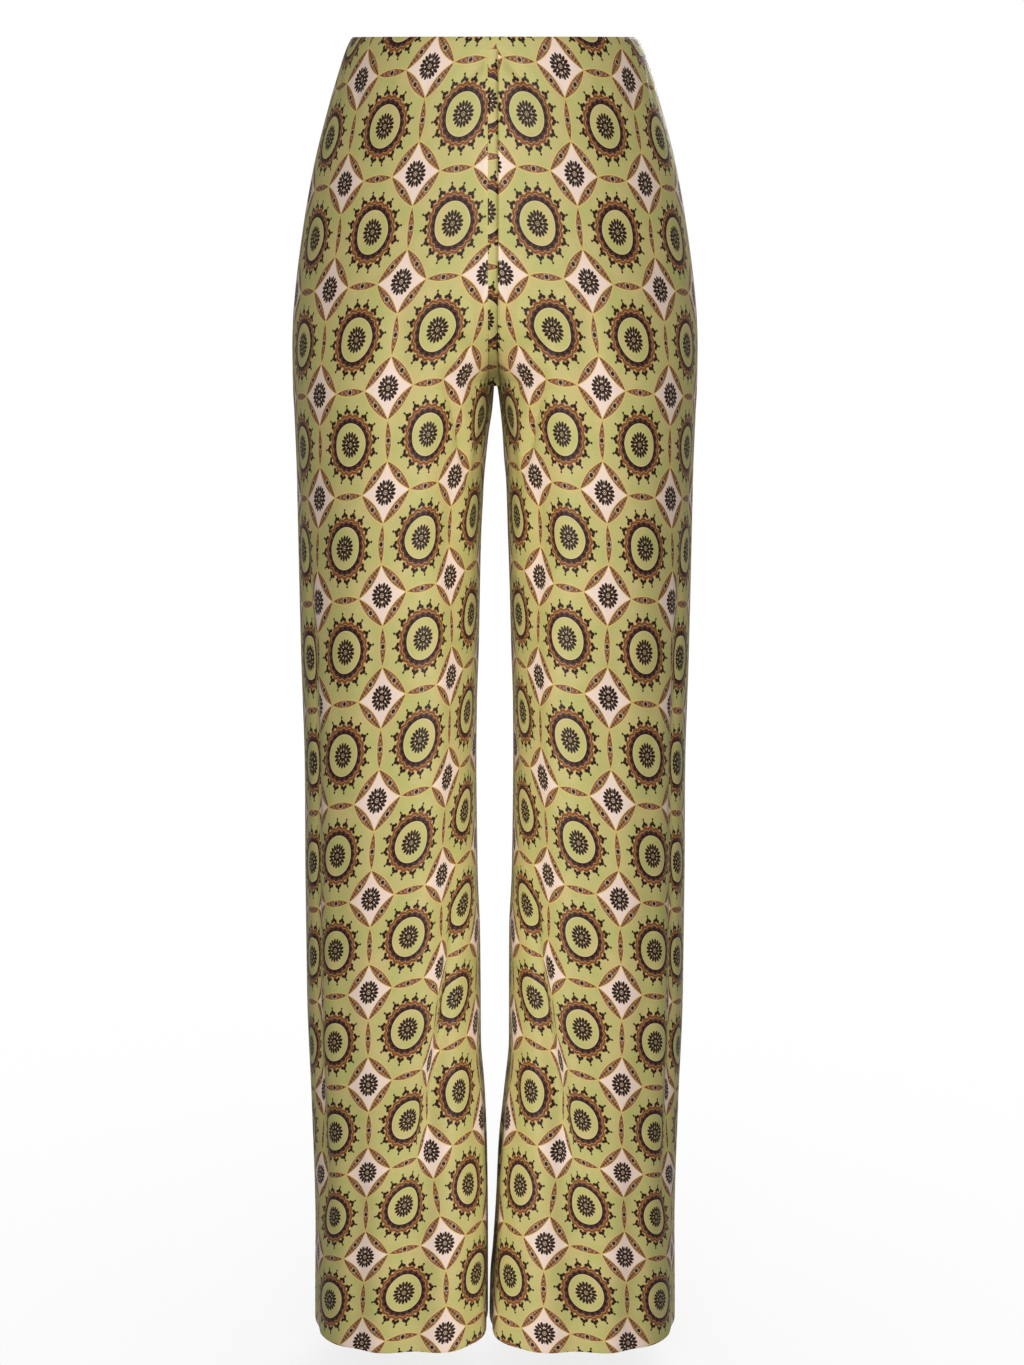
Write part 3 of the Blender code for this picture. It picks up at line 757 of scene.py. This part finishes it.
# Sizes of the print, in shares of the spacing between medallions. A pair is where a line starts and ends.
OCTAGON_SIDE_HALF = 0.197
DIAMOND_REACH = 0.5 - OCTAGON_SIDE_HALF
SLANT_LEAF_HALF, STRAIGHT_LEAF_HALF = 0.045, 0.037
LEAF_LINE, LEAF_BORDER = (-0.0085, 0.003), 0.006
LEAF_EYE, LEAF_EYE_RIM = 0.026, 0.034
SPECKS, SPECKS_FROM = 18, 0.5
DISC, DISC_LINE = 0.206, (0.198, 0.207)
LOBES, SCALLOP, ARCH = 20, 0.021, 0.034
RIM, RIM_GOLD, RIM_DARK = (0.247, 0.286), (0.249, 0.254), (0.261, 0.269)
ARCH_LINE = (0.217, 0.223)
MEDALLION_FLOWER, DIAMOND_FLOWER = 0.128, 0.13
MEDALLION_GLOW, DIAMOND_GLOW = 0.124, 0.114
# A flower's rings of petals: how many, where they start and end, and the width of all of them together, in
# shares of its radius.
PETAL_RINGS = ((17, 0.5, 1.0, 2.25), (9, 0.16, 0.56, 1.15))
FLOWER_HEART = (0.05, 0.14)
PETAL_SPREAD, PETAL_EDGE = 0.0015, 0.0035
# A bud's ovals: place sideways and outwards, half width and half length.
BUDS, BUD_TURN, BUD_START = 16, 0.25, 0.309
BUD_OVALS = ((0, 0.024, 0.0225, 0.025), (0.0265, 0.007, 0.0215, 0.0205), (0, 0.066, 0.0145, 0.0145))
BUD_STEM_HALF, BUD_STEM = 0.0075, (0.02, 0.064)
BUD_HEART = (0, 0.002, 0.011, 0.011)
# The ground goes unevenly from one green to the other.
MOTTLE_SCALE, MOTTLE_DETAIL, MOTTLE_FROM, MOTTLE_CONTRAST = 3.1, 3, 0.38, 3.4


def petals(radius, turn, count, inner, outer, half_width):
    """How deep a point lies in a ring of petals."""
    step = (turn * count).math("FRACT") - 0.5
    sideways = abs(step * radius * (2 * math.pi / count))
    along = (radius - inner) / (outer - inner)
    swell = (along * along.less_from(1.0) * 4.0).math("MAXIMUM", 0.0).root()
    return (swell * half_width - sideways).smaller(within(radius, inner, outer))


def flower(radius, turn, size):
    """The dark petals of a small flower, in two rings round a heart."""
    depth = within(radius, *(share * size for share in FLOWER_HEART))
    for count, inner, outer, width in PETAL_RINGS:
        depth = depth.larger(petals(radius, turn, count, inner * size, outer * size, width * size / count))
    return inked(depth + PETAL_SPREAD, PETAL_EDGE)


def oval(x, y, sideways, outwards, half_width, half_length):
    """How deep a point lies in an oval."""
    away = length_of((x - sideways) / half_width, (y - outwards) / half_length)
    return away.less_from(1.0) * min(half_width, half_length)


def buds(radius, turn):
    """Masks of the small dark sprigs round a medallion, and of their pale hearts."""
    step = (turn * BUDS + BUD_TURN).math("FRACT") - 0.5
    x, y = abs(step * radius * (2 * math.pi / BUDS)), radius - BUD_START
    dark = x.less_from(BUD_STEM_HALF).smaller(within(y, *BUD_STEM))
    for sizes in BUD_OVALS:
        dark = dark.larger(oval(x, y, *sizes))
    return inked(dark, MIDDLING), inked(oval(x, y, *BUD_HEART), MIDDLING)


def make_print_group():
    """The medallion repeat: octagons of green, each with a ringed medallion, and diamonds between."""
    tree, inlet, outlet = new_group("medallion_print", [("Vector", "Place")], [("Color", "Colour")])
    parts = new_node(tree, "SeparateXYZ", {0: inlet.outputs["Place"]})
    u, v = Measure(tree, parts.outputs[0]), Measure(tree, parts.outputs[1])
    across, down = u - u.math("ROUND"), v - v.math("ROUND")
    radius = length_of(across, down)
    turn = down.math("ARCTAN2", across) / (2 * math.pi)

    # From the middle of the nearest diamond.
    dx, dy = abs(across).less_from(0.5), abs(down).less_from(0.5)
    from_diamond = length_of(dx, dy)
    diamond_turn = dy.math("ARCTAN2", dx) / (2 * math.pi)

    # The three leaves: on a diamond's side, and on the upright and level sides of an octagon.
    chord = (dx + dy - DIAMOND_REACH) / math.sqrt(2)
    along = (dx - dy) / math.sqrt(2)
    slant_half = (along * along / (DIAMOND_REACH**2 / 2)).less_from(1.0) * SLANT_LEAF_HALF
    leaf = slant_half - abs(chord)
    for lengthwise, sideways in ((down, dx), (across, dy)):
        half = (lengthwise * lengthwise / OCTAGON_SIDE_HALF**2).less_from(1.0) * STRAIGHT_LEAF_HALF
        leaf = leaf.larger(half - sideways)
    in_leaf = inked(leaf - LEAF_BORDER)
    eye = length_of(chord, along).smaller(length_of(dx, down)).smaller(length_of(dy, across))
    wave = 2 * math.pi * SPECKS
    specks = (u * wave).math("COSINE") * (v * wave).math("COSINE")

    # The ring: a rust rim in scallops, then a plum band with dark arches, round the green disc.
    lobe = abs((turn * (math.pi * LOBES)).math("COSINE"))
    edge, arch = radius - lobe * SCALLOP, radius - lobe * ARCH
    ring = inked(radius - DISC) * inked(edge.less_from(RIM_GOLD[0]))

    glow = inked(radius.less_from(MEDALLION_GLOW), MISTY)
    glow = glow.larger(inked(from_diamond.less_from(DIAMOND_GLOW), MISTY))
    bud, bud_heart = buds(radius, turn)
    flowers = flower(radius, turn, MEDALLION_FLOWER)
    flowers = flowers.larger(flower(from_diamond, diamond_turn, DIAMOND_FLOWER))

    mottle = noise(tree, inlet.outputs["Place"], MOTTLE_SCALE, MOTTLE_DETAIL) - MOTTLE_FROM
    mottle = mottle.math("MULTIPLY", MOTTLE_CONTRAST, clamp=True)
    colour = blend_colour(tree, mottle, LEAF_GREEN, KHAKI)
    # Where each ink lies, thinner where its mask is multiplied, and its colour. Each goes over those before.
    inks = (
        (inked((chord + slant_half).less_from(0.0)), SHELL_PINK),
        (band(leaf, *LEAF_LINE, FINE), GOLD),
        (inked(leaf), UMBER),
        (inked(specks - SPECKS_FROM, SPECKLED) * in_leaf * 0.35, CREAM),
        (inked(specks.less_from(-SPECKS_FROM), SPECKLED) * in_leaf, BARK),
        (inked(eye.less_from(LEAF_EYE_RIM)) * in_leaf * 0.6, CREAM),
        (inked(eye.less_from(LEAF_EYE)) * in_leaf, BARK),
        (band(edge, *RIM, MIDDLING), RUST),
        (band(edge, *RIM_GOLD, FINE) * 0.5, GOLD),
        (band(edge, *RIM_DARK, FINE), BARK),
        (ring, PLUM),
        (ring * inked(arch.less_from(ARCH_LINE[0])), BARK),
        (band(arch, *ARCH_LINE, MIDDLING) * ring * 0.7, MAUVE),
        (band(radius, *DISC_LINE, MIDDLING) * 0.7, CREAM),
        (glow * 0.45, CREAM),
        (bud_heart, MAUVE),
        (flowers.larger(bud), BARK),
    )
    for mask, ink in inks:
        colour = blend_colour(tree, mask, colour, ink)
    set_inputs(tree, outlet, {"Colour": colour})
    return tree


# The weave: how many streaks to a metre across and down, and how finely they are broken up.
STREAKS = {"floats": (1400, 130, 2), "slubs": (60, 900, 2), "patches": (14, 9, 3)}
SHEEN_TINT = (1, 0.95, 0.8, 1)
SATIN = {"Specular IOR Level": 0.17, "Sheen Weight": 0.06, "Sheen Roughness": 0.35, "Sheen Tint": SHEEN_TINT}
RELIEF = {"Strength": 0.35, "Distance": 0.00012}


def make_weave_group():
    """The satin surface: fine upright floats, slubs across, and an uneven sheen."""
    tree, inlet, outlet = new_group(
        "satin_weave",
        [("Vector", "Place"), ("Float", "Roughness")],
        [("Float", "Height"), ("Float", "Roughness"), ("Float", "Shade")],
    )

    def streaks(across, down, detail):
        stretch = new_node(tree, "Mapping", {"Vector": inlet.outputs["Place"], "Scale": (across, down, 1)})
        return noise(tree, stretch.outputs[0], 1, detail)

    floats, slubs, patches = (streaks(*STREAKS[name]) for name in ("floats", "slubs", "patches"))
    roughness = Measure(tree, inlet.outputs["Roughness"])
    set_inputs(tree, outlet, {
        "Height": floats * 0.6 + slubs * 0.4,
        "Roughness": (patches - 0.5) * 0.16 + (floats - 0.5) * 0.12 + roughness,
        "Shade": (floats - 0.5) * 0.14 + (slubs - 0.5) * 0.1 + (patches - 0.5) * 0.1 + 1.0,
    })
    return tree


def use_group(tree, group, layer, **inputs):
    """A group placed in a material, fed with one of the cloth's own UV layers."""
    place = new_node(tree, "UVMap", uv_map=layer).outputs[0]
    return new_node(tree, "Group", {"Place": place, **inputs}, node_tree=group)


def new_material(name):
    material = bpy.data.materials.new(name)
    material.use_nodes = True
    return material, material.node_tree, material.node_tree.nodes["Principled BSDF"]


def make_satin(name, print_group, weave_group, faded=0.0, roughness=0.46):
    """Printed satin. On the wrong side the print shows through, paler."""
    material, tree, shader = new_material(name)
    weave = use_group(tree, weave_group, "weave", Roughness=roughness)
    colour = use_group(tree, print_group, "print").outputs["Colour"]
    if faded:
        colour = blend_colour(tree, faded, colour, KHAKI)
    shaded = new_node(tree, "VectorMath", {0: colour, "Scale": weave.outputs["Shade"]}, operation="SCALE")
    bump = new_node(tree, "Bump", {**RELIEF, "Height": weave.outputs["Height"]})
    set_inputs(tree, shader, SATIN)
    set_inputs(tree, shader, {
        "Base Color": shaded.outputs[0],
        "Roughness": weave.outputs["Roughness"],
        "Normal": bump.outputs[0],
    })
    return material


# ---- pieces


def cloth_surface(leg, face, heights):
    """The outer side of a panel with folds and creases, its normals, and where it lies in the print."""
    points, arcs, ends = tube_grid(leg, face, heights)
    normals = kept_on_seam(outward(points, face), heights)
    folds = FRONT_FOLDS if face == "front" else BACK_FOLDS[leg]
    creases = FRONT_CREASES if face == "front" else BACK_CREASES[leg]
    level = np.broadcast_to(heights[:, None], arcs.shape)
    depth = fold_depth(folds, points[..., 0], heights) + crease_depth(creases, arcs, level)
    depth *= np.clip((ends - arcs) / SEAM_CALM, 0, 1) * (1 - SEAM_KEEPS) + SEAM_KEEPS
    depth += seam_sink(arcs, SEAM_SINK, SEAM_ROUND) + seam_sink(ends - arcs, SEAM_SINK, SEAM_ROUND)
    depth += seam_sink(level, TOP_SINK, TOP_ROUND) + seam_sink(level - HEM, HEM_SINK, HEM_ROUND)
    if (face, leg) == ("front", "left"):
        depth += strip_groove(ends - arcs, level)
    outer = points - normals * depth[..., None]
    outer[..., 2] = level - hem_dip(points, level)
    if face == "front":
        place = print_place(FRONT_PRINT, range(len(FRONT_PRINT)), taken_up(arcs, level), level)
    else:
        place = print_place(BACK_PRINT, BACK_PRINT_ROWS, arcs, level, BACK_PRINT_SHIFT[leg])
    weave = np.stack([arcs, level], axis=-1) * MM
    normals = outward(outer, face)
    normals[0, :, 2] = normals[-1, :, 2] = 0
    normals /= np.linalg.norm(normals, axis=2, keepdims=True)
    return outer, kept_on_seam(normals, heights), place, weave


def lower(points, normals, deep):
    return points - normals * deep


def make_panel(leg, face, materials):
    heights = row_heights()
    outer, normals, place, weave = cloth_surface(leg, face, heights)
    cloth = ClothMesh(mirrored=leg == "right")
    cloth.add_layer(outer, lower(outer, normals, CLOTH), place, weave)
    turned_up = heights <= HEM + HEM_DEPTH
    between = (heights > HEM + HEM_DEPTH) & (heights < FACING_BOTTOM)
    everywhere = slice(None)
    doubled = (
        (turned_up, everywhere, (WRONG_SIDE, RIGHT_SIDE)),
        (between, slice(0, ALLOWANCE_COLUMNS), (RIGHT_SIDE, WRONG_SIDE)),
        (between, slice(-ALLOWANCE_COLUMNS, None), (RIGHT_SIDE, WRONG_SIDE)),
    )
    for rows, columns, shown in doubled:
        over, out = outer[rows][:, columns], normals[rows][:, columns]
        under = lower(over, out, LAYER_STEP)
        where = place[rows][:, columns], weave[rows][:, columns]
        cloth.add_layer(under, lower(under, out, CLOTH), *where, sides=shown)
    piece = cloth.make(f"{face}_{leg}", materials)
    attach(piece, "root")
    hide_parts(f"{face}_panel_{leg}")
    return piece


def strip_edges(height, beside):
    """The two long edges of the strip at a height, where they meet the panels."""
    ends = []
    for leg, side in (("right", -1), ("left", 1)):
        line, arc, end = face_line(leg, height, beside)
        x, y = np.interp(end, arc, line[:, 0]), np.interp(end, arc, line[:, 1])
        ends.append((side * x, y, height))
    return ends


def make_strip(materials):
    heights = [h for h in row_heights() if BACK_MEETING <= h <= NOTCH_BELOW] + [LEGS_CLOSED]
    edges = [strip_edges(height, "front") for height in heights]
    edges += [strip_edges(height, "back") for height in STRIP_TAIL]
    edges = np.array(edges)
    across = STRIP_COLUMNS
    outer = edges[:, :1] + (edges[:, 1:] - edges[:, :1]) * across[:, None]
    down = np.gradient(outer.mean(axis=1), axis=0)
    normal = np.column_stack([np.zeros(len(down)), down[:, 2], -down[:, 1]])
    normal /= np.linalg.norm(normal, axis=1)[:, None]
    normal = np.broadcast_to(normal[:, None], outer.shape)
    wide = np.linalg.norm(edges[:, 1] - edges[:, 0], axis=1)[:, None]
    from_edge = wide * np.minimum(across, 1 - across)
    sink = seam_sink(from_edge, SEAM_SINK, STRIP_ROUND) + strip_groove(wide * (1 - across), outer[..., 2])
    outer = lower(outer, normal, (sink - STRIP_CROWN * np.sin(np.pi * across))[..., None])
    (top, top_place), (bottom, bottom_place) = STRIP_PRINT["top"], STRIP_PRINT["bottom"]
    middle = np.interp(outer[..., 2], (bottom, top), (bottom_place, top_place))
    along = wide * (across - 0.5)
    row = (outer[..., 2] - STRIP_PRINT["row_at"]) / STRIP_PRINT["row"]
    place = np.stack([middle + along / STRIP_PRINT["spacing"], row], axis=-1)
    weave = np.stack([along, outer[..., 2]], axis=-1) * MM
    cloth = ClothMesh()
    cloth.add_layer(outer, lower(outer, normal, CLOTH), place, weave)
    piece = cloth.make("front_strip", materials)
    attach(piece, "root")
    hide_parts("centre_front_strip")
    return piece


def make_facing(materials):
    """The band inside the waist, one ring just under the panels, with its print turned inwards."""
    halves = {}
    for leg in ("left", "right"):
        parts = []
        for face in ("front", "back"):
            outer, out, place, weave = cloth_surface(leg, face, FACING_ROWS)
            parts.append((lower(outer, out, LAYER_STEP), out, place, weave))
        front, back = parts
        grid = [np.concatenate([f[:, ::-1][:, 1:], b[:, 1:-1]], axis=1) for f, b in zip(front, back)]
        if leg == "right":
            grid = [g[:, ::-1] for g in grid]
            grid[0], grid[1] = grid[0] * (-1, 1, 1), grid[1] * (-1, 1, 1)
        halves[leg] = grid
    outer, out, place, weave = (
        np.concatenate([left, right], axis=1) for left, right in zip(halves["left"], halves["right"])
    )
    cloth = ClothMesh()
    place = place + FACING_PRINT_SHIFT
    cloth.add_layer(outer, lower(outer, out, CLOTH), place, weave, ring=True, sides=(WRONG_SIDE, RIGHT_SIDE))
    piece = cloth.make("waist_band_facing", materials)
    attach(piece, "root")
    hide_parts("waist_facing")
    return piece


# ---- studio


FLOOR_DROP, FLOOR_RADIUS, FLOOR_SIDES = 0.05, 6.0, 96
FLOOR_PAINT = {"Base Color": (0.93, 0.93, 0.925, 1), "Roughness": 0.9}
FLOOR_NEAR, FLOOR_FAR, FLOOR_MOST = 0.2, 1.2, 0.2
AMBIENT = 0.24
# Softboxes: place, what it faces, width and height, and watts. The last one stands at both sides.
FRONT_SOFTBOX = (0, -2.5, 0.5), (0, 0, -0.25), (1.8, 1.2), 38
BACK_SOFTBOX = (0.6, 2.6, 0.8), (0, 0, -0.5), (1.6, 1.6), 70
CROSS_SOFTBOX = (2.1, -2.0, -0.9), (-0.09, 0, -0.8), (1.0, 1.4), 38


def fade_out(tree, shader):
    """Let the floor melt into the white of the studio before its edge."""
    place = new_node(tree, "TexCoord")
    away = new_node(tree, "VectorMath", {0: place.outputs["Object"]}, operation="LENGTH")
    inside = Measure(tree, away.outputs["Value"]).less_from(FLOOR_FAR)
    share = (inside / (FLOOR_FAR - FLOOR_NEAR)).math("MULTIPLY", 1.0, clamp=True)
    clear = new_node(tree, "BsdfTransparent")
    share = share * share * FLOOR_MOST
    mix = new_node(tree, "MixShader", {0: share, 1: clear.outputs[0], 2: shader.outputs[0]})
    set_inputs(tree, tree.nodes["Material Output"], {"Surface": mix.outputs[0]})


def make_floor():
    mesh = bpy.data.meshes.new("floor")
    turns = np.linspace(0, 2 * math.pi, FLOOR_SIDES, endpoint=False)
    corners = [(FLOOR_RADIUS * math.cos(turn), FLOOR_RADIUS * math.sin(turn), 0) for turn in turns]
    mesh.from_pydata(corners, [], [tuple(range(len(turns)))])
    floor = put_in_scene("floor", mesh)
    floor.location = (0, 0, HEM * MM - FLOOR_DROP)
    material, tree, shader = new_material("pale_floor")
    set_inputs(tree, shader, FLOOR_PAINT)
    fade_out(tree, shader)
    mesh.materials.append(material)


def make_light(name, place, target, size, power, lit=()):
    """A softbox. Where pieces are named, it lights only those."""
    light = bpy.data.lights.new(name, "AREA")
    light.shape = "RECTANGLE"
    light.size, light.size_y = size
    light.energy = power
    lamp = put_in_scene(name, light)
    lamp.location = place
    lamp.rotation_euler = (Vector(target) - Vector(place)).to_track_quat("-Z", "Y").to_euler()
    if lit:
        lamp.light_linking.receiver_collection = bpy.data.collections.new(name + "_lights")
        for piece in lit:
            lamp.light_linking.receiver_collection.objects.link(piece)


def make_studio(legs):
    world = bpy.data.worlds.new("studio")
    bpy.context.scene.world = world
    world.use_nodes = True
    tree = world.node_tree
    path = new_node(tree, "LightPath")
    strength = Measure(tree, path.outputs["Is Camera Ray"]) * (1 - AMBIENT) + AMBIENT
    set_inputs(tree, tree.nodes["Background"], {"Color": (1, 1, 1, 1), "Strength": strength})
    make_light("front_softbox", *FRONT_SOFTBOX)
    make_light("back_softbox", *BACK_SOFTBOX)
    # As in the photograph, each leg has its light from the other leg's side.
    for leg, side in (("left", -1), ("right", 1)):
        place, target = (Vector((end[0] * side, *end[1:])) for end in CROSS_SOFTBOX[:2])
        make_light(f"cross_softbox_{leg}", place, target, *CROSS_SOFTBOX[2:], legs[leg])
    bpy.context.scene.view_settings.view_transform = "Standard"


def build():
    print_group, weave_group = make_print_group(), make_weave_group()
    right_side = make_satin("printed_satin", print_group, weave_group)
    wrong_side = make_satin("satin_wrong_side", print_group, weave_group, faded=0.55, roughness=0.55)
    sides = (right_side, wrong_side)
    legs = {}
    for leg in ("left", "right"):
        front = make_panel(leg, "front", sides)
        back = make_panel(leg, "back", sides)
        legs[leg] = [front, back]
    strip = make_strip(sides)
    legs["left"].append(strip)
    facing = make_facing(sides)
    make_floor()
    make_studio(legs)


build()
